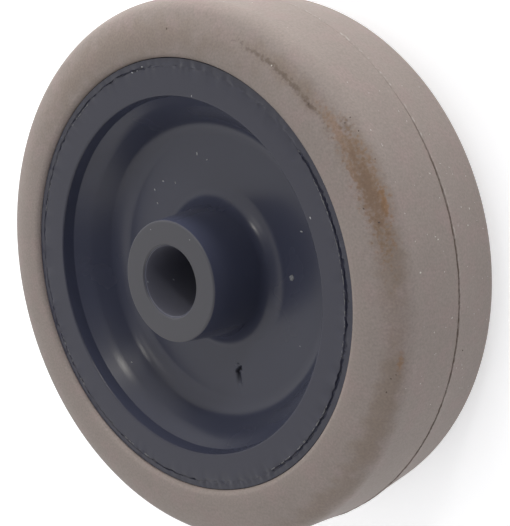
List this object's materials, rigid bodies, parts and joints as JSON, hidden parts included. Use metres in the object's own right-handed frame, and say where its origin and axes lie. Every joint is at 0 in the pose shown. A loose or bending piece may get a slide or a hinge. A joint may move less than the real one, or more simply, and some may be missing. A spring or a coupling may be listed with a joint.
{
  "type": "gangway wheel",
  "caption": "Black plastic wheel centre with a dished web and plain bore, in a grey rubber tyre with round shoulders.",
  "frame": {"origin": "middle of the bore, half way between the two boss end faces", "axes": "+Z along the axle, towards the face that the picture shows"},
  "size_m": [0.1253, 0.1252, 0.041],
  "materials": {
    "black_plastic": "moulded, semi-gloss, light dust and mould marks",
    "grey_rubber": "matt moulded rubber, taupe grey, stained along the shoulder"
  },
  "bodies": {
    "root": {"wheel_centre": "black_plastic", "tyre": "grey_rubber"}
  },
  "joints": []
}
